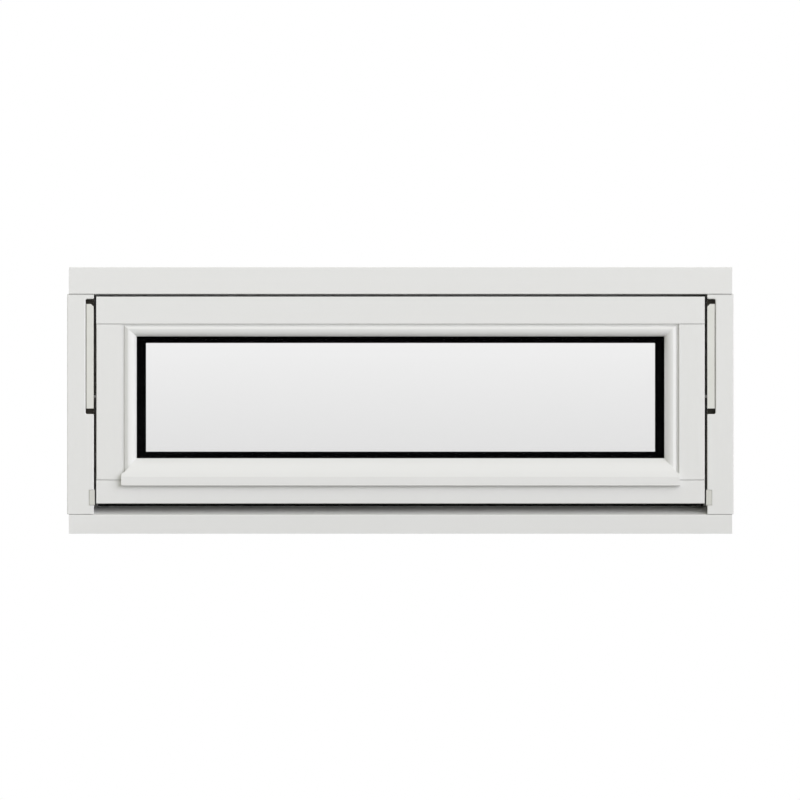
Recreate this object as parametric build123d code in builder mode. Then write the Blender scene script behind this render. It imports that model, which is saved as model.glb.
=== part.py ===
"""Top-swing timber window, closed: frame, glazed sash, mitred glazing beads, side hinges.

Millimetres. X runs along the window, -Y is the weather side and Z is up.
The origin is the middle of the sill's underside, half way through the frame's depth.
Rails run the full length and the upright pieces are scribed between them, in frame and sash.
"""

import os

from build123d import *

# Frame: outer sizes and the timber section
frame_width = 1000.0
frame_height = 400.0
frame_depth = 115.0
frame_face = 40.0  # front width of the jambs
head_face = 40.6
frame_stop = 14.0  # how far the inner half steps in to make the stop
rail_setback = 2.4  # head and sill end this far inside the jambs' outer faces
frame_arris = 1.5  # rounding on the frame's long edges
joint_kerf_width = 1.0  # fine kerf that shows each joint as a line
joint_kerf_depth = 4.0

# Sill: a weathered slope in front of an upstand that forms its stop
sill_nose = 28.5
sill_rise = 12.5
sill_upstand = 14.0
flashing_groove_width = 4.0
flashing_groove_depth = 6.0
flashing_groove_from_front = 12.0

# Sash: outer sizes and the timber section
sash_gap = 3.7  # clear gap at the head and the jambs
sash_foot_gap = 4.2  # clear height above the back of the sill's slope
sash_recess = 1.0  # the sash's face lies this far behind the frame's
sash_depth = 56.0
seal_gap = 3.5  # between the closed sash and the stop
stile_face = 38.3
top_rail_face = 40.5
bottom_rail_face = 34.9
lip_depth = 14.0  # inner lip that the glass is bedded against
lip_bevel = 6.0
sash_arris = 1.5
rebate_fall = 11.0  # the bottom rebate drains outward by this much
foot_kerf_width = 4.0  # drip groove under the sash
foot_kerf_depth = 3.0
foot_kerf_from_front = 8.0

# Glazing beads: an ovolo falls from the crest to the glass, a quirk parts it from the sash
side_bead_width = 22.3
top_bead_width = 19.2
bottom_bead_width = 33.2
bead_nose = 2.5  # thickness left at the glass
bead_crest_at = 13.5  # from the glass edge of a side bead to its crest
bead_crest_proud = 0.3
bead_crest_round = 3.0
bead_belly_at = 5.0
bead_belly_below_face = 2.6
bead_shoulder_at = 17.5
bead_shoulder_below_face = 1.6
bead_quirk_at = 18.3
bead_quirk_below_face = 4.6

# The bottom bead is rounded on top to shed water and hangs over the bottom rail as a drip
drip_face_height = 13.0
drip_projection = 8.0  # nose in front of the sash's face
drip_overhang = 8.1  # how far the nose hangs below the rebate's edge
drip_ear = 1.1  # the nose runs this far past the side beads
drip_ear_drop = 26.0  # from the glass corner down to the ear's top
drip_bulge = 3.2  # rise of its round above a straight slope
drip_round = 0.8
drip_kerf_radius = 1.5
mitre_run = 18.2  # the bottom mitre runs straight for this width
mitre_drop = 20.7  # and this height, then meets the sash's face more gently
mitre_foot_drop = 23.0

# Double glazing on a dark spacer, bedded on tape
glass_thickness = 4.0
cavity = 16.0
tape_thickness = 3.0
tape_width = 9.0
tape_inset = 1.5
glass_clearance = 5.0
spacer_show_side = 14.0  # width of spacer that shows past the side beads
spacer_show_level = 9.9
setting_block_length = 60.0
setting_block_from_end = 90.0

# Weather seals in the stop
seal_width = 5.0
sill_seal_width = 7.0  # taller, so that it also closes the gap below the sash
sill_seal_foot_gap = 0.5
seal_stem_width = 2.4
seal_stem_depth = 5.0
seal_groove_width = 3.0
seal_groove_depth = 6.0
seal_round = 1.2

# Side hinges, let into slots in the jambs' inner front edges
slot_width = 12.3
slot_height = 172.4
slot_below_head = 7.4
slot_corner = 2.5
slot_arris = 2.0
track_top_gap = 7.3
track_foot_gap = 8.3
track_side_gap = 0.8  # clear of the slot's outer wall
track_set_in = 1.5  # front flange behind the frame's face
track_depth = 26.0
track_wall = 2.0
track_bend = 1.5
track_sash_gap = 0.3  # behind the jamb's inner face
track_chamfer = 4.0
slider_height = 30.0
slider_below_track_top = 10.0
slider_thickness = 4.0
slider_clearance = 0.3
arm_thickness = 3.0
arm_width = 16.0
arm_length = 130.0
rivet_radius = 3.5
plate_thickness = 2.0
plate_width = 20.0
plate_height = 110.0
plate_round = 4.0

# Guide blocks at the feet of the jambs
guide_width = 8.9
guide_into_gap = 1.4
guide_above_sill = 1.5
guide_height = 23.5
guide_set_in = 0.3  # behind the frame's face
guide_depth = 20.0
guide_round = 1.8

# Handle on the inside of the bottom rail
rose_length = 66.0
rose_height = 26.0
rose_depth = 8.0
rose_round = 2.5
neck_radius = 7.5
neck_length = 20.0
lever_length = 118.0
lever_root_height = 20.0
lever_root_depth = 12.0
lever_tip_height = 15.0
lever_tip_depth = 9.0
lever_crank = 14.0  # the grip steps out from the hub over this length
lever_step = 2.5
lever_round = 3.0

# Holes through the jambs for threaded frame sleeves
fixing_radius = 7.0
fixing_from_end = 100.0
fixing_before_stop = 15.0

# Planes and lines that the pieces share
front_y = -frame_depth / 2
back_y = frame_depth / 2
jamb_x = frame_width / 2
rail_x = jamb_x - rail_setback
opening_x = jamb_x - frame_face
stop_x = opening_x - frame_stop
head_z = frame_height - head_face
head_stop_z = head_z - frame_stop
sill_back_z = sill_nose + sill_rise
sill_stop_z = sill_back_z + sill_upstand

sash_x = opening_x - sash_gap
sash_top_z = head_z - sash_gap
sash_foot_z = sill_back_z + sash_foot_gap
sash_front_y = front_y + sash_recess
sash_back_y = sash_front_y + sash_depth
stop_y = sash_back_y + seal_gap
lip_y = sash_back_y - lip_depth
rebate_x = sash_x - stile_face
rebate_top_z = sash_top_z - top_rail_face
rebate_foot_z = sash_foot_z + bottom_rail_face
sight_x = rebate_x - side_bead_width
sight_top_z = rebate_top_z - top_bead_width
sight_foot_z = rebate_foot_z + bottom_bead_width

glass_in_y = lip_y - tape_thickness
cavity_in_y = glass_in_y - glass_thickness
cavity_out_y = cavity_in_y - cavity
glass_out_y = cavity_out_y - glass_thickness
bead_back_y = glass_out_y - tape_thickness
glass_x = rebate_x - glass_clearance
glass_top_z = rebate_top_z - glass_clearance
glass_foot_z = rebate_foot_z + rebate_fall + glass_clearance

head_seal_z = (sash_top_z + head_stop_z) / 2
sill_seal_z = sill_back_z + sill_seal_foot_gap + sill_seal_width / 2
jamb_seal_x = (sash_x + stop_x) / 2
seal_reach_x = jamb_seal_x + seal_width / 2
seal_foot_z = sill_seal_z + sill_seal_width / 2
seal_top_z = head_seal_z - seal_width / 2

slot_out_x = opening_x + slot_width
slot_top = head_z - slot_below_head
slot_foot = slot_top - slot_height
track_in_x = opening_x + track_sash_gap
track_front_y = front_y + track_set_in
track_back_y = track_front_y + track_depth
track_out_x = slot_out_x - track_side_gap
track_top = slot_top - track_top_gap
track_foot = slot_foot + track_foot_gap
slider_out_x = track_out_x - track_wall - slider_clearance
slider_in_x = slider_out_x - slider_thickness
slider_top_z = track_top - slider_below_track_top
slider_front_y = track_front_y + track_wall + slider_clearance
slider_back_y = track_back_y - track_wall - slider_clearance
slider_middle_y = (slider_front_y + slider_back_y) / 2
arm_in_x = slider_in_x - arm_thickness
arm_top_z = slider_top_z - slider_height / 2 + arm_width / 2
arm_foot_z = arm_top_z - arm_length


def near(shapes, x=None, y=None, z=None):
    """The shapes whose centres lie on the given coordinates."""
    tolerance = 0.01
    kept = shapes
    for axis, value in ((Axis.X, x), (Axis.Y, y), (Axis.Z, z)):
        if value is not None:
            kept = kept.filter_by_position(axis, value - tolerance, value + tolerance)
    return kept


def rail(half_length, section, rounded, radius):
    """A bar along X with the given Y-Z section and rounded edges at some of its corners."""
    with BuildPart() as bar:
        with BuildSketch(Plane.YZ.offset(-half_length)):
            Polygon(*section, align=None)
        extrude(amount=2 * half_length)
        for y, z in rounded:
            fillet(near(bar.edges().filter_by(Axis.X), y=y, z=z), radius)
    return bar.part


def upright(foot_z, top_z, section, rounded, radius):
    """A bar along Z with the given X-Y section and rounded edges at some of its corners."""
    with BuildPart() as bar:
        with BuildSketch(Plane.XY.offset(foot_z)):
            Polygon(*section, align=None)
        extrude(amount=top_z - foot_z)
        for x, y in rounded:
            fillet(near(bar.edges().filter_by(Axis.Z), x=x, y=y), radius)
    return bar.part


def block(x_range, y_range, z_range):
    """A plain box between three pairs of coordinates."""
    with BuildPart() as box:
        with BuildSketch(Plane.XY.offset(z_range[0])):
            with Locations((sum(x_range) / 2, sum(y_range) / 2)):
                Rectangle(x_range[1] - x_range[0], y_range[1] - y_range[0])
        extrude(amount=z_range[1] - z_range[0])
    return box.part


def front_outline(points):
    """A prism through the whole depth with an outline drawn in the front view."""
    with BuildPart() as prism:
        with BuildSketch(Plane.XZ.offset(frame_depth)):
            Polygon(*points, align=None)
        extrude(amount=-2 * frame_depth)
    return prism.part


def joint_kerf(y, z, align):
    """Sketches the kerf in an upright's end, where its face meets a rail at a height."""
    with Locations((y, z)):
        Rectangle(joint_kerf_depth, joint_kerf_width, align=(Align.MIN, align))


def groove_along_x(half_length, y, z, width, depth):
    """A groove cut into a face that looks along -Y, centred on the given height."""
    return block((-half_length, half_length), (y, y + depth), (z - width / 2, z + width / 2))


# Frame head: runs over both jambs, with the stop stepping down at the back
head_section = [
    (front_y, head_z),
    (stop_y, head_z),
    (stop_y, head_stop_z),
    (back_y, head_stop_z),
    (back_y, frame_height),
    (front_y, frame_height),
]
head_rounded = [(front_y, head_z), (front_y, frame_height), (back_y, head_stop_z)]
with BuildPart() as frame_head:
    add(rail(rail_x, head_section, head_rounded, frame_arris))
    add(
        groove_along_x(seal_reach_x, stop_y, head_seal_z, seal_groove_width, seal_groove_depth),
        mode=Mode.SUBTRACT,
    )

# Frame sill: the slope sheds water under the sash, the upstand closes the bottom
sill_section = [
    (front_y, 0),
    (back_y, 0),
    (back_y, sill_stop_z),
    (stop_y, sill_stop_z),
    (stop_y, sill_back_z),
    (front_y, sill_nose),
]
groove_y = front_y + flashing_groove_from_front
with BuildPart() as frame_sill:
    add(rail(rail_x, sill_section, [(front_y, sill_nose), (back_y, sill_stop_z)], frame_arris))
    add(
        groove_along_x(seal_reach_x, stop_y, sill_seal_z, seal_groove_width, seal_groove_depth),
        mode=Mode.SUBTRACT,
    )
    add(
        block(
            (-rail_x, rail_x),
            (groove_y, groove_y + flashing_groove_width),
            (0, flashing_groove_depth),
        ),
        mode=Mode.SUBTRACT,
    )

# Frame jamb: scribed between head and sill, with hinge slot, guide notch and fixing holes
jamb_section = [
    (-jamb_x, front_y),
    (-opening_x, front_y),
    (-opening_x, stop_y),
    (-stop_x, stop_y),
    (-stop_x, back_y),
    (-jamb_x, back_y),
]
jamb_rounded = [(-opening_x, front_y), (-jamb_x, front_y), (-stop_x, back_y)]
guide_in_x = opening_x - guide_into_gap
guide_out_x = guide_in_x + guide_width
guide_foot = sill_back_z + guide_above_sill
guide_top = guide_foot + guide_height
guide_front_y = front_y + guide_set_in
guide_back_y = guide_front_y + guide_depth
fixing_y = stop_y - fixing_before_stop
with BuildPart() as frame_jamb_left:
    add(upright(0, frame_height, jamb_section, jamb_rounded, frame_arris))
    with BuildSketch(Plane.YZ.offset(-jamb_x)):
        Polygon(*head_section, align=None)
        Polygon(*sill_section, align=None)
        joint_kerf(front_y, head_z, Align.MAX)
        joint_kerf(front_y, sill_nose, Align.MIN)
    extrude(amount=frame_face + frame_stop, mode=Mode.SUBTRACT)
    with BuildSketch(Plane.XY.offset(sill_stop_z)):
        with Locations((-jamb_seal_x, stop_y)):
            Rectangle(seal_groove_width, seal_groove_depth, align=(Align.CENTER, Align.MIN))
    extrude(amount=head_stop_z - sill_stop_z, mode=Mode.SUBTRACT)
    add(
        block((-slot_out_x, -opening_x), (front_y, track_back_y), (slot_foot, slot_top)),
        mode=Mode.SUBTRACT,
    )
    for corner_z in (slot_foot, slot_top):
        fillet(
            near(frame_jamb_left.edges().filter_by(Axis.Y), x=-slot_out_x, z=corner_z),
            slot_corner,
        )
    slot_rim = near(frame_jamb_left.edges(), y=front_y).filter_by_position(
        Axis.X, -slot_out_x, -opening_x
    )
    fillet(slot_rim.filter_by_position(Axis.Z, slot_foot, slot_top), slot_arris)
    add(
        block((-guide_out_x, -opening_x), (front_y, guide_back_y), (guide_foot, guide_top)),
        mode=Mode.SUBTRACT,
    )
    with BuildSketch(Plane.YZ.offset(-jamb_x)):
        with Locations((fixing_y, fixing_from_end), (fixing_y, frame_height - fixing_from_end)):
            Circle(fixing_radius)
    extrude(amount=frame_face, mode=Mode.SUBTRACT)

with BuildPart() as frame_jamb_right:
    mirror(frame_jamb_left.part, about=Plane.YZ)


# Weather seals: a stem in the stop's groove and a soft head that the closed sash lies against
def level_seal(z, width):
    """A seal along the head or the sill, centred on the given height."""
    with BuildPart() as seal:
        with BuildSketch(Plane.YZ.offset(-seal_reach_x)):
            with Locations((stop_y, z)):
                Rectangle(seal_gap, width, align=(Align.MAX, Align.CENTER))
                Rectangle(seal_stem_depth, seal_stem_width, align=(Align.MIN, Align.CENTER))
        extrude(amount=2 * seal_reach_x)
        fillet(near(seal.edges().filter_by(Axis.X), y=sash_back_y), seal_round)
    return seal.part


with BuildPart() as seal_head:
    add(level_seal(head_seal_z, seal_width))

with BuildPart() as seal_sill:
    add(level_seal(sill_seal_z, sill_seal_width))

with BuildPart() as seal_left:
    with BuildSketch(Plane.XY.offset(seal_foot_z)):
        with Locations((-jamb_seal_x, stop_y)):
            Rectangle(seal_width, seal_gap, align=(Align.CENTER, Align.MAX))
    extrude(amount=seal_top_z - seal_foot_z)
    with BuildSketch(Plane.XY.offset(sill_stop_z)):
        with Locations((-jamb_seal_x, stop_y)):
            Rectangle(seal_stem_width, seal_stem_depth, align=(Align.CENTER, Align.MIN))
    extrude(amount=head_stop_z - sill_stop_z)
    fillet(near(seal_left.edges().filter_by(Axis.Z), y=sash_back_y), seal_round)

with BuildPart() as seal_right:
    mirror(seal_left.part, about=Plane.YZ)

# Sash rails: full length, a rebate open to the weather side and a bevelled inner lip
top_rail_section = [
    (sash_front_y, rebate_top_z),
    (lip_y, rebate_top_z),
    (lip_y, sight_top_z),
    (sash_back_y - lip_bevel, sight_top_z),
    (sash_back_y, sight_top_z + lip_bevel),
    (sash_back_y, sash_top_z),
    (sash_front_y, sash_top_z),
]
bottom_rail_section = [
    (sash_front_y, sash_foot_z),
    (sash_back_y, sash_foot_z),
    (sash_back_y, sight_foot_z - lip_bevel),
    (sash_back_y - lip_bevel, sight_foot_z),
    (lip_y, sight_foot_z),
    (lip_y, rebate_foot_z + rebate_fall),
    (sash_front_y, rebate_foot_z),
]
with BuildPart() as sash_top_rail:
    top_rounded = [(sash_front_y, sash_top_z), (sash_back_y, sash_top_z)]
    add(rail(sash_x, top_rail_section, top_rounded, sash_arris))

kerf_y = sash_front_y + foot_kerf_from_front
with BuildPart() as sash_bottom_rail:
    foot_rounded = [(sash_front_y, sash_foot_z), (sash_back_y, sash_foot_z)]
    add(rail(sash_x, bottom_rail_section, foot_rounded, sash_arris))
    add(
        block(
            (-sash_x, sash_x),
            (kerf_y, kerf_y + foot_kerf_width),
            (sash_foot_z, sash_foot_z + foot_kerf_depth),
        ),
        mode=Mode.SUBTRACT,
    )

# Hinge plate: let flush into the stile's outer edge
with BuildPart() as hinge_plate_left:
    with BuildSketch(Plane.YZ.offset(-sash_x)):
        with Locations((slider_middle_y, arm_foot_z + plate_height / 2)):
            RectangleRounded(plate_width, plate_height, plate_round)
    extrude(amount=plate_thickness)

# Sash stile: the same section upright, its ends scribed over the rails' sections
stile_section = [
    (-sash_x, sash_front_y),
    (-rebate_x, sash_front_y),
    (-rebate_x, lip_y),
    (-sight_x, lip_y),
    (-sight_x, sash_back_y - lip_bevel),
    (-sight_x - lip_bevel, sash_back_y),
    (-sash_x, sash_back_y),
]
with BuildPart() as sash_stile_left:
    stile_rounded = [(-sash_x, sash_front_y), (-sash_x, sash_back_y)]
    add(upright(sash_foot_z, sash_top_z, stile_section, stile_rounded, sash_arris))
    with BuildSketch(Plane.YZ.offset(-sash_x)):
        Polygon(*top_rail_section, align=None)
        Polygon(*bottom_rail_section, align=None)
        joint_kerf(sash_front_y, rebate_top_z, Align.MAX)
        joint_kerf(sash_front_y, rebate_foot_z, Align.MIN)
    extrude(amount=sash_x - sight_x, mode=Mode.SUBTRACT)
    add(hinge_plate_left.part, mode=Mode.SUBTRACT)

with BuildPart() as sash_stile_right:
    mirror(sash_stile_left.part, about=Plane.YZ)

# Glazing unit: two panes on a dark spacer
with BuildPart() as outer_pane:
    add(block((-glass_x, glass_x), (glass_out_y, cavity_out_y), (glass_foot_z, glass_top_z)))

with BuildPart() as inner_pane:
    add(block((-glass_x, glass_x), (cavity_in_y, glass_in_y), (glass_foot_z, glass_top_z)))

clear_x = sight_x - spacer_show_side
clear_top_z = sight_top_z - spacer_show_level
clear_foot_z = sight_foot_z + spacer_show_level
with BuildPart() as spacer_frame:
    add(block((-glass_x, glass_x), (cavity_out_y, cavity_in_y), (glass_foot_z, glass_top_z)))
    add(
        block((-clear_x, clear_x), (cavity_out_y, cavity_in_y), (clear_foot_z, clear_top_z)),
        mode=Mode.SUBTRACT,
    )

tape_x = sight_x + tape_inset
tape_top_z = sight_top_z + tape_inset
tape_foot_z = sight_foot_z - tape_inset


def glazing_tape(y_range):
    """A tape that runs round the glass just inside the sight line."""
    with BuildPart() as tape:
        add(
            block(
                (-tape_x - tape_width, tape_x + tape_width),
                y_range,
                (tape_foot_z - tape_width, tape_top_z + tape_width),
            )
        )
        add(block((-tape_x, tape_x), y_range, (tape_foot_z, tape_top_z)), mode=Mode.SUBTRACT)
    return tape.part


with BuildPart() as outer_tape:
    add(glazing_tape((bead_back_y, glass_out_y)))

with BuildPart() as inner_tape:
    add(glazing_tape((glass_in_y, lip_y)))


def rebate_floor(y):
    """Height of the bottom rebate's draining floor at a depth."""
    return rebate_foot_z + rebate_fall * (y - sash_front_y) / (lip_y - sash_front_y)


# Setting blocks: wedges that carry the glass level above the draining floor
block_x = glass_x - setting_block_from_end
with BuildPart() as setting_block_left:
    with BuildSketch(Plane.YZ.offset(-block_x)):
        Polygon(
            (glass_out_y, rebate_floor(glass_out_y)),
            (glass_in_y, rebate_floor(glass_in_y)),
            (glass_in_y, glass_foot_z),
            (glass_out_y, glass_foot_z),
            align=None,
        )
    extrude(amount=setting_block_length)

with BuildPart() as setting_block_right:
    mirror(setting_block_left.part, about=Plane.YZ)

# Side and top beads share one moulding, drawn as distance from the glass edge and depth
nose_y = bead_back_y - bead_nose
belly_y = sash_front_y + bead_belly_below_face
crest_y = sash_front_y - bead_crest_proud
shoulder_y = sash_front_y + bead_shoulder_below_face
quirk_y = sash_front_y + bead_quirk_below_face


def bead_moulding(width):
    """The moulding's front line, stretched to a bead's width."""
    stretch = width / side_bead_width
    return [
        (0, nose_y),
        (bead_belly_at * stretch, belly_y),
        (bead_crest_at * stretch, crest_y),
        (bead_shoulder_at * stretch, shoulder_y),
        (bead_quirk_at * stretch, quirk_y),
        (width, quirk_y),
        (width, bead_back_y),
        (0, bead_back_y),
        (0, nose_y),
    ]


mitre_foot = [
    (-sight_x, sight_foot_z),
    (-sight_x - mitre_run, sight_foot_z - mitre_drop),
    (-rebate_x, sight_foot_z - mitre_foot_drop),
]
with BuildPart() as bead_left:
    with BuildSketch(Plane.XY.offset(rebate_foot_z)) as side_moulding:
        with BuildLine():
            outline = [(-sight_x - across, y) for across, y in bead_moulding(side_bead_width)]
            ThreePointArc(*outline[:3])
            Polyline(*outline[2:])
        make_face()
        crest = (-sight_x - bead_crest_at, crest_y)
        fillet(near(side_moulding.vertices(), x=crest[0], y=crest[1]), bead_crest_round)
    extrude(amount=rebate_top_z - rebate_foot_z)
    add(
        front_outline([(-rebate_x, rebate_top_z), (-sight_x, sight_top_z), *mitre_foot]),
        mode=Mode.INTERSECT,
    )

with BuildPart() as bead_right:
    mirror(bead_left.part, about=Plane.YZ)

with BuildPart() as bead_top:
    with BuildSketch(Plane.YZ.offset(-rebate_x)) as top_moulding:
        with BuildLine():
            outline = [(y, sight_top_z + across) for across, y in bead_moulding(top_bead_width)]
            ThreePointArc(*outline[:3])
            Polyline(*outline[2:])
        make_face()
        crest = outline[2]
        fillet(near(top_moulding.vertices(), x=crest[0], y=crest[1]), bead_crest_round)
    extrude(amount=2 * rebate_x)
    add(
        front_outline(
            [
                (-rebate_x, rebate_top_z),
                (rebate_x, rebate_top_z),
                (sight_x, sight_top_z),
                (-sight_x, sight_top_z),
            ]
        ),
        mode=Mode.INTERSECT,
    )

# Bottom bead: rounded on top, with a drip nose, a kerf and ears past the side beads
drip_front_y = sash_front_y - drip_projection
drip_foot_z = rebate_foot_z - drip_overhang
drip_top_z = drip_foot_z + drip_face_height
drip_x = rebate_x + drip_ear
slope_out = Vector(nose_y - drip_front_y, drip_top_z - sight_foot_z)
round_middle = (
    (nose_y + drip_front_y) / 2 + drip_bulge * slope_out.Y / slope_out.length,
    (sight_foot_z + drip_top_z) / 2 + drip_bulge * slope_out.X / slope_out.length,
)
with BuildPart() as bead_bottom:
    with BuildSketch(Plane.YZ.offset(-drip_x)) as drip_moulding:
        with BuildLine():
            ThreePointArc((nose_y, sight_foot_z), round_middle, (drip_front_y, drip_top_z))
            Polyline(
                (drip_front_y, drip_top_z),
                (drip_front_y, drip_foot_z),
                (sash_front_y, drip_foot_z),
                (sash_front_y, rebate_foot_z),
                (bead_back_y, rebate_floor(bead_back_y)),
                (bead_back_y, sight_foot_z),
                (nose_y, sight_foot_z),
            )
        make_face()
        for edge_z in (drip_top_z, drip_foot_z):
            fillet(near(drip_moulding.vertices(), x=drip_front_y, y=edge_z), drip_round)
        with Locations(((drip_front_y + sash_front_y) / 2, drip_foot_z)):
            Circle(drip_kerf_radius, mode=Mode.SUBTRACT)
    extrude(amount=2 * drip_x)
    left_side = [*mitre_foot, (-drip_x, sight_foot_z - drip_ear_drop), (-drip_x, drip_foot_z)]
    right_side = [(-x, z) for x, z in reversed(left_side)]
    add(front_outline(left_side + right_side), mode=Mode.INTERSECT)
    for ear in ((-drip_x, -rebate_x), (rebate_x, drip_x)):
        add(block(ear, (sash_front_y, back_y), (drip_foot_z, sight_foot_z)), mode=Mode.SUBTRACT)

# Hinge track: a bent channel open to the sash, its back flange screwed to the slot's bottom
with BuildPart() as hinge_track_left:
    with BuildSketch(Plane.XY.offset(track_foot)) as channel:
        Polygon(
            (-track_out_x, track_front_y),
            (-track_in_x, track_front_y),
            (-track_in_x, track_front_y + track_wall),
            (-track_out_x + track_wall, track_front_y + track_wall),
            (-track_out_x + track_wall, track_back_y - track_wall),
            (-track_in_x, track_back_y - track_wall),
            (-track_in_x, track_back_y),
            (-track_out_x, track_back_y),
            align=None,
        )
        fillet(near(channel.vertices(), x=-track_out_x), track_bend)
    extrude(amount=track_top - track_foot)
    chamfer(
        near(hinge_track_left.edges().filter_by(Axis.Y), x=-track_in_x, z=track_top),
        track_chamfer,
    )

# Hinge slider: a block that runs in the channel
with BuildPart() as hinge_slider_left:
    add(
        block(
            (-slider_out_x, -slider_in_x),
            (slider_front_y, slider_back_y),
            (slider_top_z - slider_height, slider_top_z),
        )
    )
    fillet(hinge_slider_left.edges().filter_by(Axis.X), slider_thickness / 2)

# Hinge arm: a flat bar on the slider, riveted at its foot to the plate on the sash
with BuildPart() as hinge_arm_left:
    with BuildSketch(Plane.YZ.offset(-slider_in_x)):
        with Locations((slider_middle_y, (arm_top_z + arm_foot_z) / 2)):
            SlotOverall(arm_length, arm_width, rotation=90)
    extrude(amount=arm_thickness)
    with BuildSketch(Plane.YZ.offset(-arm_in_x)):
        with Locations((slider_middle_y, arm_foot_z + arm_width / 2)):
            Circle(rivet_radius)
    extrude(amount=arm_in_x - sash_x)

# Guide block: let into the jamb's front edge near its foot, it centres the closing sash
with BuildPart() as guide_block_left:
    add(
        block(
            (-guide_out_x, -guide_in_x),
            (guide_front_y, guide_back_y),
            (guide_foot, guide_top),
        )
    )
    front_edges = near(guide_block_left.edges(), y=guide_front_y)
    fillet(front_edges.filter_by(Axis.X) + near(front_edges, x=-guide_out_x), guide_round)

with BuildPart() as hinge_track_right:
    mirror(hinge_track_left.part, about=Plane.YZ)

with BuildPart() as hinge_slider_right:
    mirror(hinge_slider_left.part, about=Plane.YZ)

with BuildPart() as hinge_arm_right:
    mirror(hinge_arm_left.part, about=Plane.YZ)

with BuildPart() as hinge_plate_right:
    mirror(hinge_plate_left.part, about=Plane.YZ)

with BuildPart() as guide_block_right:
    mirror(guide_block_left.part, about=Plane.YZ)

# Handle: a rose on the bottom rail and a lever that lies level while the window is locked
handle_z = (sill_stop_z + sight_foot_z - lip_bevel) / 2
rose_back_y = sash_back_y + rose_depth
with BuildPart() as handle_rose:
    with BuildSketch(Plane.XZ.offset(-sash_back_y)):
        with Locations((0, handle_z)):
            SlotOverall(rose_length, rose_height)
    extrude(amount=-rose_depth)
    fillet(near(handle_rose.edges(), y=rose_back_y), rose_round)

lever_y = rose_back_y + neck_length
lever_front_y = lever_y + lever_root_depth
hub_radius = lever_root_height / 2
tip_radius = lever_tip_height / 2
lever_end_x = lever_length - hub_radius
with BuildPart() as handle_lever:
    with BuildSketch(Plane.XZ.offset(-lever_y)):
        with Locations((0, handle_z)):
            Circle(hub_radius)
        with Locations((lever_end_x - tip_radius, handle_z)):
            Circle(tip_radius)
        make_hull()
    extrude(amount=-lever_root_depth)
    with BuildSketch(Plane.XY.offset(handle_z - hub_radius)):
        Polygon(
            (-hub_radius, lever_y),
            (hub_radius, lever_y),
            (hub_radius + lever_crank, lever_y + lever_step),
            (lever_end_x, lever_y + lever_step),
            (lever_end_x, lever_y + lever_step + lever_tip_depth),
            (-hub_radius, lever_front_y),
            align=None,
        )
    extrude(amount=lever_root_height, mode=Mode.INTERSECT)
    fillet(handle_lever.faces().sort_by(Axis.Y)[-1].edges(), lever_round)
    with BuildSketch(Plane.XZ.offset(-rose_back_y)):
        with Locations((0, handle_z)):
            Circle(neck_radius)
    extrude(amount=-neck_length - lever_round)

pieces = {
    "frame_head": frame_head,
    "frame_sill": frame_sill,
    "frame_jamb_left": frame_jamb_left,
    "frame_jamb_right": frame_jamb_right,
    "seal_head": seal_head,
    "seal_sill": seal_sill,
    "seal_left": seal_left,
    "seal_right": seal_right,
    "sash_top_rail": sash_top_rail,
    "sash_bottom_rail": sash_bottom_rail,
    "sash_stile_left": sash_stile_left,
    "sash_stile_right": sash_stile_right,
    "outer_pane": outer_pane,
    "inner_pane": inner_pane,
    "spacer_frame": spacer_frame,
    "outer_tape": outer_tape,
    "inner_tape": inner_tape,
    "setting_block_left": setting_block_left,
    "setting_block_right": setting_block_right,
    "bead_top": bead_top,
    "bead_left": bead_left,
    "bead_right": bead_right,
    "bead_bottom": bead_bottom,
    "hinge_track_left": hinge_track_left,
    "hinge_track_right": hinge_track_right,
    "hinge_slider_left": hinge_slider_left,
    "hinge_slider_right": hinge_slider_right,
    "hinge_arm_left": hinge_arm_left,
    "hinge_arm_right": hinge_arm_right,
    "hinge_plate_left": hinge_plate_left,
    "hinge_plate_right": hinge_plate_right,
    "guide_block_left": guide_block_left,
    "guide_block_right": guide_block_right,
    "handle_rose": handle_rose,
    "handle_lever": handle_lever,
}
os.makedirs("parts", exist_ok=True)
for name, piece in pieces.items():
    piece.part.label = name
    export_step(piece.part, f"parts/{name}.step")
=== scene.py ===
# %% [markdown]
# # A top-swing timber window
# The window is a white painted timber frame with one wide, low sash inside it. The sash hangs on
# side hinges near its head and swings outwards. Its joinery comes ready made from the CAD model, in
# metres, at its real place. This lesson gives every piece its finish, adds the small pieces that a
# joiner adds last, and lights the window as a catalogue does, straight from the front.

# %% Load the window
import math

import bmesh
import bpy
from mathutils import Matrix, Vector


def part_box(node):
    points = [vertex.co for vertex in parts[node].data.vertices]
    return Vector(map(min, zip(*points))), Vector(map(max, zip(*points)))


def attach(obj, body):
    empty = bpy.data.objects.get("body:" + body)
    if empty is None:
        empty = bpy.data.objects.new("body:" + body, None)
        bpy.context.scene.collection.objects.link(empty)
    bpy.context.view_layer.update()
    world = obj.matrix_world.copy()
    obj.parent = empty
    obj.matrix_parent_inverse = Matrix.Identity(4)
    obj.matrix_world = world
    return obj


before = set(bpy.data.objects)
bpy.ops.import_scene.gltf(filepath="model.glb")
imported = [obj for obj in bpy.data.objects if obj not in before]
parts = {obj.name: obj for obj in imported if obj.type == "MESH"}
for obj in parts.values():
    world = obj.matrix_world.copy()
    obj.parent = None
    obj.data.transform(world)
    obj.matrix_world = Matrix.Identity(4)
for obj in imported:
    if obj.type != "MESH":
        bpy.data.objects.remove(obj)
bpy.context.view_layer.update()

# %% [markdown]
# ## Writing materials as sums
# Every finish below is a handful of noises, added and scaled. Wiring Math nodes by hand hides such
# a sum in a page of links, so a small class wraps a socket and lets Python's own operators add the
# nodes. A second class is a node tree, the sky's or a material's: its method `node` adds any other
# node, with its settings set first. The third is one material.


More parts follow.
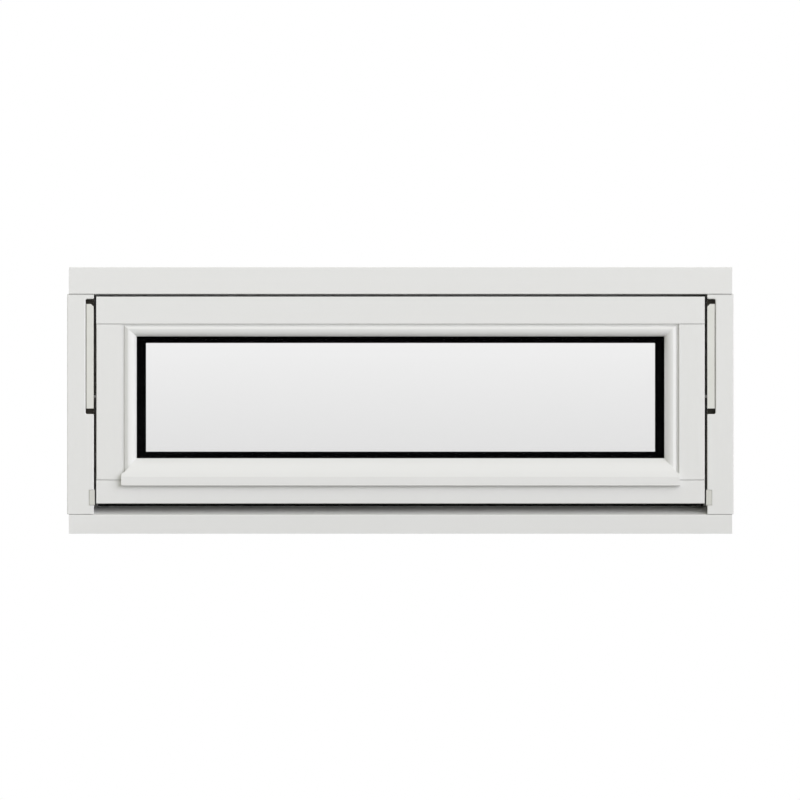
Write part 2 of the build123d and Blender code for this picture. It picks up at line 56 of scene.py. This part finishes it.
# %% Numbers that vary over a surface
class Varying:
    """A socket that carries a number. Arithmetic on it adds Math nodes to its tree."""

    def __init__(self, nodes, socket):
        self.nodes = nodes
        self.socket = socket

    def worked(self, operation, *values):
        """What one Math node makes of the values."""
        sockets = dict(enumerate(values))
        maths = self.nodes.node("ShaderNodeMath", {"operation": operation}, sockets)
        return Varying(self.nodes, maths.outputs["Value"])

    def __add__(self, other):
        return self.worked("ADD", self, other)

    def __radd__(self, other):
        return self.worked("ADD", other, self)

    def __sub__(self, other):
        return self.worked("SUBTRACT", self, other)

    def __rsub__(self, other):
        return self.worked("SUBTRACT", other, self)

    def __mul__(self, other):
        return self.worked("MULTIPLY", self, other)

    def __rmul__(self, other):
        return self.worked("MULTIPLY", other, self)

    def __gt__(self, other):
        return self.worked("GREATER_THAN", self, other)

    def __lt__(self, other):
        return self.worked("LESS_THAN", self, other)

    def size(self):
        """The number without its sign."""
        return self.worked("ABSOLUTE", self)

    def between(self, low, high):
        """0 at low and 1 at high, straight between them and level outside."""
        ramp = {"Value": self, "From Min": low, "From Max": high}
        mapped = self.nodes.node("ShaderNodeMapRange", {"clamp": True}, ramp)
        return Varying(self.nodes, mapped.outputs["Result"])


print("varying numbers ready")

# %% Any node tree
COLOUR_MIX = {"share": 0, "first": 6, "second": 7, "result": 2}  # a colour Mix node's sockets


class Nodes:
    """A node tree. node() adds a node to it, and the rest are short ways to common ones."""

    def __init__(self, tree):
        self.tree = tree

    def node(self, kind, settings=None, sockets=None):
        """Adds a node of that type, sets its settings, then its sockets to values or links."""
        added = self.tree.nodes.new(kind)
        for setting, value in (settings or {}).items():
            setattr(added, setting, value)
        for socket, value in (sockets or {}).items():
            self.link(value, added.inputs[socket])
        return added

    def link(self, value, socket):
        """Links a varying number or a socket, or sets a plain value."""
        if isinstance(value, Varying):
            value = value.socket
        if isinstance(value, bpy.types.NodeSocket):
            self.tree.links.new(value, socket)
        else:
            socket.default_value = value

    def axis(self, name, vector):
        """One coordinate of a vector."""
        split = self.node("ShaderNodeSeparateXYZ", sockets={"Vector": vector})
        return Varying(self, split.outputs[name])

    def blend(self, share, first, second):
        """A colour between two others."""
        values = {"share": share, "first": first, "second": second}
        sockets = {COLOUR_MIX[name]: value for name, value in values.items()}
        mix = self.node("ShaderNodeMix", {"data_type": "RGBA"}, sockets)
        return mix.outputs[COLOUR_MIX["result"]]

    def ray(self, kind):
        """A number from Light Path, such as 1 for rays of a kind and 0 for others."""
        return Varying(self, self.node("ShaderNodeLightPath").outputs[kind])

    def seen(self):
        """1 for what the camera sees, also in gloss and through glass, and 0 for falling light."""
        kinds = ("Is Camera Ray", "Is Glossy Ray", "Is Transmission Ray")
        looking = sum(self.ray(kind) for kind in kinds)
        return (looking > 0) * (self.ray("Diffuse Depth") < 1)


print("node trees ready")


# %% One material
class Finish(Nodes):
    """A material with one Principled shader."""

    def __init__(self, name, **constants):
        """The constants are the shader's sockets, with _ for a space."""
        self.material = bpy.data.materials.new(name)
        self.material.use_nodes = True
        super().__init__(self.material.node_tree)
        self.shader = self.tree.nodes["Principled BSDF"]
        for socket, value in constants.items():
            self.shader.inputs[socket.replace("_", " ")].default_value = value
        self.place = self.node("ShaderNodeTexCoord").outputs["Object"]

    def scaled(self, per_metre):
        """The object's own coordinates, scaled along each axis."""
        sockets = {"Vector": self.place, "Scale": per_metre}
        return self.node("ShaderNodeMapping", sockets=sockets).outputs["Vector"]

    def noise(self, per_metre, detail=2.0):
        """A soft random pattern with that many features per metre along each axis."""
        pattern = {"Vector": self.scaled(per_metre), "Scale": 1.0, "Detail": detail}
        return Varying(self, self.node("ShaderNodeTexNoise", sockets=pattern).outputs["Fac"])

    def facing(self, name):
        """One coordinate of the way the surface faces."""
        return self.axis(name, self.node("ShaderNodeNewGeometry").outputs["Normal"])

    def colour(self, value):
        self.link(value, self.shader.inputs["Base Color"])

    def roughness(self, value):
        self.link(value, self.shader.inputs["Roughness"])

    def relief(self, height, depth):
        """Bump of that depth in metres."""
        bump = self.node("ShaderNodeBump", sockets={"Height": height, "Distance": depth})
        self.link(bump.outputs["Normal"], self.shader.inputs["Normal"])


def evenly(per_metre):
    """The same number of features per metre along every axis."""
    return (per_metre,) * 3


def rgb(level, warmth=0.0):
    """A pale grey as a colour: level is its linear brightness, warmth takes blue away."""
    return (level, level, level * (1 - warmth), 1)


print("materials ready")

# %% [markdown]
# ## White paint on pine
# Factory paint goes on by spray, so it is even, but pine still shows through its film: faint raised
# latewood lines along each piece, a soft mottle, and a fine orange peel. A picture of timber could
# be wrapped on, but noise in the piece's own coordinates needs no unwrapping and stays in scale.
# The lines are a noise stretched along X on rails and along Z on uprights, because boards are cut
# that way. The ends of a piece show growth rings instead. Deep in the hinge slots the colour turns
# to a dark brown: primed timber where the spray thins out, and painted shade of the deep slots too.

# %% Painted shade in the hinge slots
# painted shade: a dark primer brown deep in the hinge slots
PRIMED_SHADE = (0.1, 0.085, 0.06, 1)
SLOT_PAST_TRACK = 0.0085  # the slot is this much longer at each end, with its rounded rim
SLOT_BACK = 0.001  # the slot's bottom and side may be this far past the track's
SHADE_FROM = 0.001  # behind the track's face, where the painted shade starts
SHADE_FULL = 0.006  # and where it is full

track_low, track_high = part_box("hinge_track_left")


def slot_shade_mask(finish):
    """Painted shade: 1 deep in the hinge slots and 0 elsewhere on a jamb."""
    across = finish.axis("X", finish.place).size()
    behind = finish.axis("Y", finish.place)
    height = finish.axis("Z", finish.place)
    deep = behind.between(track_low.y + SHADE_FROM, track_low.y + SHADE_FULL)
    deep *= behind < track_high.y + SLOT_BACK
    beside = (across > -track_high.x) * (across < -track_low.x + SLOT_BACK)
    above_foot = height > track_low.z - SLOT_PAST_TRACK
    below_top = height < track_high.z + SLOT_PAST_TRACK
    return deep * beside * above_foot * below_top


print("hinge slots start", round(track_low.z - SLOT_PAST_TRACK, 4), "m above the foot")

# %% Painted timber
WHITE = 0.76
BEAD_WHITE = WHITE * 1.01
WARMTH = 0.018
PAINT_SPREAD = 0.015  # the paint's level wanders by this share of it
WARMTH_SPREAD = 0.3
PAINT_ROUGHNESS = 0.34
PAINT_RELIEF = 0.00006
LATEWOOD_ACROSS, LATEWOOD_ALONG = 420.0, 3.0  # features per metre, as are the next four
SPRAY_ACROSS, SPRAY_ALONG = 1300.0, 14.0
MOTTLE = 9.0
ORANGE_PEEL = 900.0
RINGS = 160.0
CUT_END = 0.8  # a face that looks more than this along the grain is a cut end


def stretched(along, slow, fast):
    """Scales of a pattern that changes slowly along one axis and fast across it."""
    return tuple(slow if axis == along else fast for axis in "XYZ")


def painted_timber(name, along, level=WHITE, shaded_slots=False):
    """White paint on pine with its grain along X or Z, with painted shade deep in the hinge slots
    if asked.
    """
    finish = Finish(name)
    grain = finish.noise(stretched(along, LATEWOOD_ALONG, LATEWOOD_ACROSS), detail=3.0)
    spray = finish.noise(stretched(along, SPRAY_ALONG, SPRAY_ACROSS), detail=1.0)
    mottle = finish.noise(evenly(MOTTLE))
    peel = finish.noise(evenly(ORANGE_PEEL), detail=1.0)
    rings = finish.node(
        "ShaderNodeTexWave",
        {"wave_type": "RINGS", "rings_direction": along},
        {"Vector": finish.scaled(evenly(RINGS)), "Scale": 1.0, "Distortion": 1.5, "Detail": 2.0},
    )
    cut_end = finish.facing(along).size() > CUT_END
    lines = grain * (1 - cut_end) + Varying(finish, rings.outputs["Fac"]) * cut_end
    # how much each pattern adds to colour, roughness and relief is given here
    darker = rgb(level * (1 - PAINT_SPREAD), WARMTH * (1 + WARMTH_SPREAD))
    lighter = rgb(level * (1 + PAINT_SPREAD), WARMTH * (1 - WARMTH_SPREAD))
    paint = finish.blend(mottle * 0.5 + lines * 0.35 + spray * 0.15, darker, lighter)
    # deep in the hinge slots the colour turns to a dark primer brown, as painted shade
    finish.colour(finish.blend(slot_shade_mask(finish), paint, PRIMED_SHADE) if shaded_slots else paint)
    finish.roughness(PAINT_ROUGHNESS + mottle * 0.1 + lines * 0.06)
    finish.relief(lines * 0.55 + spray * 0.15 + peel * 0.3, PAINT_RELIEF)
    return finish.material


paint_rail = painted_timber("frame_paint_rail", "X")
paint_upright = painted_timber("frame_paint_upright", "Z")
paint_jamb = painted_timber("frame_paint_jamb", "Z", shaded_slots=True)
bead_rail = painted_timber("bead_paint_rail", "X", BEAD_WHITE)
bead_upright = painted_timber("bead_paint_upright", "Z", BEAD_WHITE)
print("paint:", [m.name for m in (paint_rail, paint_upright, paint_jamb, bead_rail, bead_upright)])

# %% [markdown]
# ## Glass, spacer and tape
# The two panes are clear float glass, greyer towards the foot: a painted reflection, brighter at
# the head. Glass could be one shader with full transmission, but a lamp's shadow rays stop at it
# and the room behind would stay dark.
# So a Mix Shader sends those rays through a Transparent shader instead. The spacer between the
# panes is a matt black warm edge, and the panes lie in black glazing tape. Both are nearly black
# with no gloss at all, so that they stay dark under a white sky.

# %% Glass
# painted reflection: the panes' colour greys from head to foot
GLASS_AT_FOOT = 0.859
GLASS_AT_HEAD = 0.939
GLASS_INDEX = 1.1  # real glass has 1.5, but two flat panes would mirror too much of the sky

pane_low, pane_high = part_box("outer_pane")


def clear_glass(name):
    """Clear glass with a painted reflection, whose tint deepens towards its foot."""
    finish = Finish(name, Roughness=0.0, IOR=GLASS_INDEX, Transmission_Weight=1.0)
    up_pane = finish.axis("Z", finish.place).between(pane_low.z, pane_high.z)
    finish.colour(finish.blend(up_pane, rgb(GLASS_AT_FOOT), rgb(GLASS_AT_HEAD)))
    clear = finish.shader.outputs["BSDF"]
    through = finish.node("ShaderNodeBsdfTransparent").outputs["BSDF"]
    shaders = {0: finish.ray("Is Shadow Ray"), 1: clear, 2: through}
    mixed = finish.node("ShaderNodeMixShader", sockets=shaders).outputs["Shader"]
    finish.link(mixed, finish.tree.nodes["Material Output"].inputs["Surface"])
    return finish.material


glass = clear_glass("pane_glass")
print("panes", round((pane_high.z - pane_low.z) * 1000, 1), "mm high")

# %% Spacer, tape and seals
PORE_SPREAD = 0.3
PORE_DEPTH = 0.00008


def black_rubber(name, level, pores_per_metre, roughness, gloss):
    """Matt black with fine pores."""
    finish = Finish(name, Roughness=roughness, Specular_IOR_Level=gloss)
    pores = finish.noise(evenly(pores_per_metre))
    darker, lighter = rgb(level * (1 - PORE_SPREAD)), rgb(level * (1 + PORE_SPREAD))
    finish.colour(finish.blend(pores, darker, lighter))
    finish.relief(pores, PORE_DEPTH)
    return finish.material


spacer_black = black_rubber("spacer_black", 0.002, 1500.0, roughness=0.8, gloss=0.0)
tape_black = black_rubber("tape_black", 0.002, 2500.0, roughness=0.9, gloss=0.0)
seal_black = black_rubber("seal_rubber", 0.012, 1200.0, roughness=0.6, gloss=0.2)
print("blacks:", [m.name for m in (spacer_black, tape_black, seal_black)])

# %% [markdown]
# ## Hinges, guide blocks and handle
# The hinge tracks are coated a warm pale grey, and the sleeves and screws are bright zinc. The arms
# and plates are zinc plated and dull, and darker than the sleeves: painted shade, so that they stay
# dark in the sash gap. The sliders and guide blocks are moulded plastic, and the handle is powder
# coated white. Each could have a recipe of its own, but at this size they differ only in colour,
# gloss and metal. So one function makes them all, with a fine grain for the bump and a slow cloud
# that moves colour and roughness. A finish then goes to every piece whose name starts as its entry
# in the list does, which gives left and right pieces the same one.

# %% Metals and plastics
COAT_GRAIN = 1600.0
COAT_CLOUD = 25.0
COAT_SPREAD = 0.04
COAT_WARMTH_SPREAD = 0.1
COAT_ROUGHNESS_SPREAD = 0.08
COAT_RELIEF = 0.00003


def coated(name, level, warmth, roughness, metallic=0.0):
    """A powder coat, a plating or a moulded skin with a fine grain."""
    finish = Finish(name, Metallic=metallic)
    grain = finish.noise(evenly(COAT_GRAIN), detail=1.0)
    cloud = finish.noise(evenly(COAT_CLOUD))
    darker = rgb(level * (1 - COAT_SPREAD), warmth * (1 + COAT_WARMTH_SPREAD))
    lighter = rgb(level * (1 + COAT_SPREAD), warmth * (1 - COAT_WARMTH_SPREAD))
    finish.colour(finish.blend(cloud, darker, lighter))
    finish.roughness(roughness + cloud * COAT_ROUGHNESS_SPREAD)
    finish.relief(grain, COAT_RELIEF)
    return finish.material


hinge_coat = coated("hinge_coat", level=0.7, warmth=0.06, roughness=0.4)
# painted shade: the arms and plates get a darker zinc than the sleeves, so they stay dark in the
# gap
zinc = coated("zinc_plate_gap_shade", level=0.42, warmth=0.02, roughness=0.45, metallic=1.0)
bright_zinc = coated("zinc_bright", level=0.62, warmth=0.02, roughness=0.35, metallic=1.0)
nylon = coated("slider_nylon", level=0.05, warmth=0.0, roughness=0.5)
guide_plastic = coated("guide_plastic", level=0.63, warmth=0.07, roughness=0.5)
setting_plastic = coated("setting_plastic", level=0.03, warmth=0.0, roughness=0.5)
handle_coat = coated("handle_coat", level=0.74, warmth=0.01, roughness=0.3)
print("metals and plastics ready")

# %% Every CAD piece gets its finish
finishes = {
    "frame_head": paint_rail,
    "frame_sill": paint_rail,
    "frame_jamb": paint_jamb,
    "sash_top_rail": paint_rail,
    "sash_bottom_rail": paint_rail,
    "sash_stile": paint_upright,
    "bead_top": bead_rail,
    "bead_bottom": bead_rail,
    "bead_left": bead_upright,
    "bead_right": bead_upright,
    "outer_pane": glass,
    "inner_pane": glass,
    "spacer_frame": spacer_black,
    "outer_tape": tape_black,
    "inner_tape": tape_black,
    "seal": seal_black,
    "hinge_track": hinge_coat,
    "hinge_arm": zinc,
    "hinge_plate": zinc,
    "hinge_slider": nylon,
    "guide_block": guide_plastic,
    "setting_block": setting_plastic,
    "handle": handle_coat,
}
for name, part in parts.items():
    finish = next(finishes[start] for start in finishes if name.startswith(start))
    for place in part.material_slots:
        place.material = finish
print("finishes given to", len(parts), "pieces")

# %% [markdown]
# ## Turned fittings
# Three small fittings are left: the sleeves that hold the frame, a collar round the handle's neck,
# and the screws of its rose. The first two are rings. A ring could be spun from a profile, but from
# a cylinder it takes three strokes: the rims are bevelled, both ends inset, and the inset faces
# bridged into a bore. Faces and edges are chosen by where they are. A piece's own Z axis is the one
# that it is turned about.

# %% Choosing in edit mode
NEAR = 1e-6


def choose(kind, test):
    """Selects the vertices, edges or faces for which the test holds, and nothing else."""
    bpy.ops.mesh.select_mode(type=kind)
    bpy.ops.mesh.select_all(action="DESELECT")
    shape = bmesh.from_edit_mesh(bpy.context.object.data)
    for item in {"VERT": shape.verts, "EDGE": shape.edges, "FACE": shape.faces}[kind]:
        if test(item):
            item.select_set(True)
    shape.select_flush_mode()
    bmesh.update_edit_mesh(bpy.context.object.data)


def is_rim(edge, radius):
    """An edge that runs round the piece at that radius."""
    first, second = (vertex.co for vertex in edge.verts)
    on_wall = min(first.xy.length, second.xy.length) > radius - NEAR
    return on_wall and abs(first.z - second.z) < NEAR


print("choosing ready")

# %% Turning
ROUND = 48  # sides of a turned piece
RIM_STEPS = 2
SQUARE_ON = 0.99  # a face looks more than this along an axis that it is square to


def turn_to(axis):
    """The rotation that lays an object's own Z axis along another."""
    return axis.to_track_quat("Z", "Y").to_euler()


def turned(name, radius, length, centre, axis, sides=ROUND):
    """A cylinder to start from, in edit mode."""
    bpy.ops.object.select_all(action="DESELECT")
    bpy.ops.mesh.primitive_cylinder_add(
        vertices=sides, radius=radius, depth=length, location=centre, rotation=turn_to(axis)
    )
    bpy.context.object.name = name
    bpy.ops.object.mode_set(mode="EDIT")
    return bpy.context.object


def ring(name, radius, bore, length, centre, axis, rim):
    """A cylinder with rounded rims and a bore through it, in edit mode."""
    piece = turned(name, radius, length, centre, axis)
    choose("EDGE", lambda edge: is_rim(edge, radius))
    bpy.ops.mesh.bevel(offset=rim, segments=RIM_STEPS, affect="EDGES")
    choose("FACE", lambda face: abs(face.normal.z) > SQUARE_ON)
    bpy.ops.mesh.inset(thickness=radius - rim - bore)
    bpy.ops.mesh.bridge_edge_loops()
    return piece


print("turning ready")

# %% Cutting and finishing
SMOOTH_UNDER = math.radians(35)  # edges that bend less than this look round


def only(piece):
    """Makes a piece the one selected and active object."""
    bpy.ops.object.select_all(action="DESELECT")
    piece.select_set(True)
    bpy.context.view_layer.objects.active = piece


def cut(piece, cutter):
    """Cuts one object out of another and removes the cutter."""
    recess = piece.modifiers.new("recess", "BOOLEAN")
    recess.object = cutter
    only(piece)
    bpy.ops.object.modifier_apply(modifier=recess.name)
    only(cutter)
    bpy.ops.object.delete()


def moved_copy(piece, name, shift, turn=0.0):
    """A copy with its own mesh, turned about the upright through its centre, then moved."""
    only(piece)
    bpy.ops.object.duplicate(linked=False)
    copy = bpy.context.object
    copy.name = name
    if turn:
        bpy.ops.transform.rotate(value=turn, orient_axis="Z", center_override=piece.location)
    bpy.ops.transform.translate(value=shift)
    return copy


def finished(piece, finish):
    """Moves a piece's place into its mesh, smooths its round faces, gives it finish and body."""
    only(piece)
    bpy.ops.object.transform_apply(location=True, rotation=True, scale=True)
    bpy.ops.object.shade_smooth_by_angle(angle=SMOOTH_UNDER)
    piece.data.materials.clear()
    piece.data.materials.append(finish)
    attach(piece, "root")
    sizes = [round(side * 1000, 1) for side in piece.dimensions]
    print(piece.name, sizes, "mm,", len(piece.data.polygons), "faces")


print("cutting and finishing ready")

# %% [markdown]
# ## Frame sleeves
# A threaded steel sleeve sits in each side hole of the jambs. It is turned in or out with a hexagon
# key until the frame stands straight, and the wall screw then goes through it. A thread could be a
# helix, but only its first turns can be seen, so rings stand for it: the wall is divided along its
# length and every second loop is drawn in.

# %% One sleeve
SLEEVE_RADIUS = 0.0069  # the hole's is 7 mm
SLEEVE_BORE = 0.0032
SLEEVE_LENGTH = 0.028
SLEEVE_RIM = 0.0006
SLEEVE_SUNK = 0.0025  # below the jamb's side
SLEEVE_BEFORE_BACK = 0.0115  # in front of the sash's inner face
SLEEVE_FROM_END = 0.1  # from the frame's foot and head

side_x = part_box("frame_jamb_left")[0].x
foot_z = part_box("frame_sill")[0].z
head_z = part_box("frame_head")[1].z
sash_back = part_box("sash_top_rail")[1].y
outwards = Vector((-1, 0, 0))
sleeve_end = Vector(
    (side_x + SLEEVE_SUNK, sash_back - SLEEVE_BEFORE_BACK, foot_z + SLEEVE_FROM_END)
)
sleeve_centre = sleeve_end - outwards * SLEEVE_LENGTH / 2
sleeve = ring(
    "frame_sleeve_left_low",
    SLEEVE_RADIUS,
    SLEEVE_BORE,
    SLEEVE_LENGTH,
    sleeve_centre,
    outwards,
    SLEEVE_RIM,
)
print("sleeve at", [round(x, 4) for x in sleeve_centre])

# %% Its thread
THREAD_LOOPS = 41
THREAD_CORE = 0.92  # the drawn in radius as a share of the sleeve's


def on_sleeve_wall(vertex):
    return abs(vertex.co.xy.length - SLEEVE_RADIUS) < NEAR


def along_sleeve_wall(edge):
    return all(map(on_sleeve_wall, edge.verts)) and not is_rim(edge, SLEEVE_RADIUS)


def loop_height(vertex):
    return round(vertex.co.z, 6)  # rounded, so that it is one number for all of a loop


choose("EDGE", along_sleeve_wall)
bpy.ops.mesh.subdivide_edgering(number_cuts=THREAD_LOOPS, interpolation="LINEAR", smoothness=0)
shape = bmesh.from_edit_mesh(sleeve.data)
loops = sorted({loop_height(vertex) for vertex in shape.verts if on_sleeve_wall(vertex)})
drawn_in = loops[2:-2:2]  # every second loop, and none beside a rim
choose("VERT", lambda vertex: on_sleeve_wall(vertex) and loop_height(vertex) in drawn_in)
bpy.ops.transform.resize(value=(THREAD_CORE, THREAD_CORE, 1), orient_type="LOCAL")
bpy.ops.object.mode_set(mode="OBJECT")
print("thread of", len(drawn_in), "rings")

# %% Its key socket
KEY_RADIUS = 0.0045
KEY_DEPTH = 0.009
KEY_SIDES = 6

key = turned("hexagon_key", KEY_RADIUS, KEY_DEPTH * 2, sleeve_end, outwards, sides=KEY_SIDES)
bpy.ops.object.mode_set(mode="OBJECT")
cut(sleeve, key)
print("sleeve with", len(sleeve.data.polygons), "faces")

# %% Four sleeves
to_head = Vector((0, 0, head_z - foot_z - 2 * SLEEVE_FROM_END))
to_right = Vector((-2 * sleeve_centre.x, 0, 0))
sleeves = [
    sleeve,
    moved_copy(sleeve, "frame_sleeve_left_high", to_head),
    moved_copy(sleeve, "frame_sleeve_right_low", to_right, math.pi),
    moved_copy(sleeve, "frame_sleeve_right_high", to_right + to_head, math.pi),
]
for piece in sleeves:
    finished(piece, bright_zinc)

# %% [markdown]
# ## Handle collar and screws
# The lever turns in a white collar on its rose. Two raised screws with cross recesses hold the
# rose. A recess could be pressed in with an inset, but a cross has corners that an inset would
# round, so each is cut by two crossed wedges: boxes whose deep ends are drawn together.

# %% Collar
COLLAR_RADIUS = 0.0108
COLLAR_BORE = 0.0076  # the neck's radius is 7.5 mm
COLLAR_HEIGHT = 0.0022
COLLAR_RIM = 0.0009

rose_low, rose_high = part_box("handle_rose")
rose_centre = Vector((0, rose_high.y, (rose_low.z + rose_high.z) / 2))
inwards = Vector((0, 1, 0))  # into the room, where the handle is
collar = ring(
    "handle_collar",
    COLLAR_RADIUS,
    COLLAR_BORE,
    COLLAR_HEIGHT,
    rose_centre + inwards * COLLAR_HEIGHT / 2,
    inwards,
    COLLAR_RIM,
)
bpy.ops.object.mode_set(mode="OBJECT")
finished(collar, handle_coat)

# %% One screw head
SCREW_RADIUS = 0.0036
SCREW_HEIGHT = 0.0016
SCREW_DOME = 0.0011
DOME_STEPS = 6
SCREWS_APART = 0.043

screw_foot = rose_centre - Vector((SCREWS_APART / 2, 0, 0))
screw_centre = screw_foot + inwards * SCREW_HEIGHT / 2
screw = turned("rose_screw_left", SCREW_RADIUS, SCREW_HEIGHT, screw_centre, inwards)
choose("EDGE", lambda edge: is_rim(edge, SCREW_RADIUS) and edge.verts[0].co.z > 0)
bpy.ops.mesh.bevel(offset=SCREW_DOME, segments=DOME_STEPS, affect="EDGES")
bpy.ops.object.mode_set(mode="OBJECT")
print("screw head with", len(screw.data.polygons), "faces")

# %% Its cross, and the other screw
CROSS_LENGTH = 0.0042
CROSS_WIDTH = 0.0009
CROSS_DEPTH = 0.0012
CROSS_DRAWN = 0.45  # the size of a wedge's deep end as a share of its outer end

for slot_turn in (0, math.pi / 2):
    bpy.ops.object.select_all(action="DESELECT")
    bpy.ops.mesh.primitive_cube_add(
        size=1,
        location=screw_foot + inwards * SCREW_HEIGHT,
        rotation=(0, slot_turn, 0),
        scale=(CROSS_LENGTH, CROSS_DEPTH * 2, CROSS_WIDTH),
    )
    wedge = bpy.context.object
    bpy.ops.object.mode_set(mode="EDIT")
    choose("FACE", lambda face: face.normal.y < -SQUARE_ON)
    bpy.ops.transform.resize(value=(CROSS_DRAWN, 1, CROSS_DRAWN))
    bpy.ops.object.mode_set(mode="OBJECT")
    cut(screw, wedge)
other_screw = moved_copy(screw, "rose_screw_right", (SCREWS_APART, 0, 0))
for piece in (screw, other_screw):
    finished(piece, bright_zinc)

# %% [markdown]
# ## Sky, lamps, floor and camera
# An even warm sky fills the shadows. Area lamps could add the rest, but close to a wide window they
# would light its middle more than its ends, so the lamps are suns, with a wide disc for soft
# shadows. One lights the front and one the back, each a little from above and well from the
# viewer's right, so that the mouldings read. They are a touch cool, so that paint that both light
# stays neutral and the shade in the gaps is warm. The camera, and gloss and glass that it sees,
# look at plain white instead, so the background stays white without more light on the paint. Under
# the horizon they look at the floor's own grey, so that no edge of the floor shows from above. The
# lamps are left out of gloss, because a low lamp's glare would bleach the top of the frame. Light
# that comes back through the panes is counted once, by shadow rays.

# %% Sky
SKY_LEVEL = 0.62
SKY_WARMTH = 0.12
BELOW_LEVEL = 0.6  # seen past the floor's edge, about as bright as the floor
HORIZON = -0.001  # a touch low, so that a level view is all white

scene = bpy.context.scene
scene.view_settings.view_transform = "Standard"
world = bpy.data.worlds.new("studio_sky")
scene.world = world
world.use_nodes = True
sky = Nodes(world.node_tree)
background = sky.tree.nodes["Background"]
shown = sky.seen()
sky.link(sky.blend(shown, rgb(1, SKY_WARMTH), rgb(1)), background.inputs["Color"])
unbent = 1 - sky.ray("Is Transmission Ray")
upwards = sky.axis("Z", sky.node("ShaderNodeTexCoord").outputs["Generated"])
shown_level = 1 - (1 - BELOW_LEVEL) * (upwards < HORIZON)
sky_light = SKY_LEVEL * (1 - shown) * unbent
sky.link(shown * shown_level + sky_light, background.inputs["Strength"])
print("sky level", SKY_LEVEL)

# %% Lamps
LAMP_LEVEL = 0.83  # a white sheet that faces the lamp gets about this brightness from it
LAMP_COOLNESS = 0.09
LAMP_WIDTH = math.radians(60)
LAMP_RIGHT = math.radians(42)
LAMP_UP = math.radians(12)
LAMP_AWAY = 3  # a sun shines from no one place, but this one is easy to find

for side in (-1, 1):
    to_lamp = Vector(
        (-side * math.sin(LAMP_RIGHT), side * math.cos(LAMP_RIGHT), math.tan(LAMP_UP))
    )
    bpy.ops.object.light_add(type="SUN", location=to_lamp * LAMP_AWAY)
    lamp = bpy.context.object
    lamp.name = "soft_lamp_front" if side < 0 else "soft_lamp_back"
    lamp.rotation_euler = turn_to(to_lamp)
    lamp.data.angle = LAMP_WIDTH
    lamp.data.energy = LAMP_LEVEL * math.pi
    lamp.data.color = (1, 1, 1 + LAMP_COOLNESS)
    lamp.visible_glossy = False
    print(lamp.name, "towards", [round(x, 2) for x in to_lamp])

# %% Floor
FLOOR_SIZE = 14.0
FLOOR_DOWN = 0.0005  # under the sill, so that the two don't share a plane
FLOOR_SEEN = 0.58
FLOOR_BOUNCE = 0.42  # how much of the light it throws back at the window
FLOOR_ROUGHNESS = 0.9

bpy.ops.object.select_all(action="DESELECT")
bpy.ops.mesh.primitive_plane_add(size=FLOOR_SIZE, location=(0, 0, -FLOOR_DOWN))
floor = bpy.context.object
floor.name = "studio_floor"
floor_paint = Finish("floor_paint", Roughness=FLOOR_ROUGHNESS)
floor_paint.colour(floor_paint.blend(floor_paint.seen(), rgb(FLOOR_BOUNCE), rgb(FLOOR_SEEN)))
floor.data.materials.append(floor_paint.material)
print("floor", FLOOR_SIZE, "m wide")

# %% Camera
M_PER_PIXEL = 0.0015
PIXELS = 800
MIDDLE_PIXEL = 400.5  # where the window's middle and its foot are in the picture
FOOT_PIXEL = 533.75
CAMERA_AWAY = 6.0

camera_data = bpy.data.cameras.new("front_camera")
camera_data.type = "ORTHO"
camera_data.ortho_scale = PIXELS * M_PER_PIXEL
camera = bpy.data.objects.new("front_camera", camera_data)
scene.collection.objects.link(camera)
camera.location = (
    (PIXELS / 2 - MIDDLE_PIXEL) * M_PER_PIXEL,
    -CAMERA_AWAY,
    (FOOT_PIXEL - PIXELS / 2) * M_PER_PIXEL,
)
camera.rotation_euler = (math.radians(90), 0, 0)
scene.camera = camera
print("camera sees", round(camera_data.ortho_scale, 3), "m")
